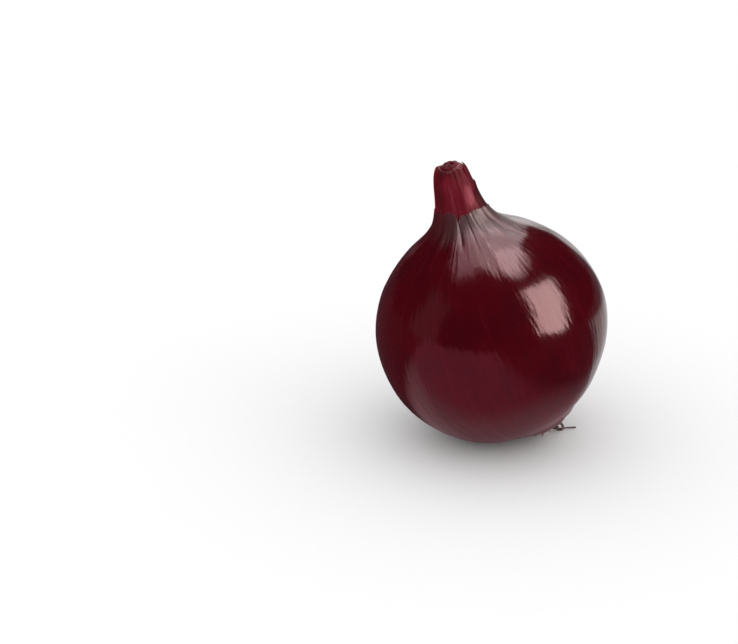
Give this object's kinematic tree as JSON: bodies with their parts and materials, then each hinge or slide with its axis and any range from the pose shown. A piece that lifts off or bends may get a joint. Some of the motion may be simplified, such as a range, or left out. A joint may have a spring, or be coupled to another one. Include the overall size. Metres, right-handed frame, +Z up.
{
  "type": "onion",
  "caption": "Whole red onion: a round bulb with a dry pleated neck, a corky root plate and dried roots, resting on a small flat spot.",
  "frame": {"origin": "on the flat spot that the onion rests on, with the middle of the bulb straight above it", "axes": "+Z up, square to the flat spot; the neck leans towards -X and the root plate looks down towards +X; -Y is the side the picture was taken from"},
  "size_m": [0.0773, 0.0766, 0.0965],
  "materials": {
    "skin": "glossy dry papery skin, dark maroon",
    "plate": "rough corky tissue, golden brown",
    "root": "dry matt fibre, greyish brown"
  },
  "bodies": {
    "root": {"bulb": "skin", "root_plate": "plate", "root_long": "root", "root_loop": "root", "root_stub_01": "root", "root_stub_02": "root", "root_stub_03": "root", "root_stub_04": "root", "root_stub_05": "root", "root_stub_06": "root", "root_stub_07": "root", "root_stub_08": "root", "root_stub_09": "root", "root_stub_10": "root"}
  },
  "joints": []
}
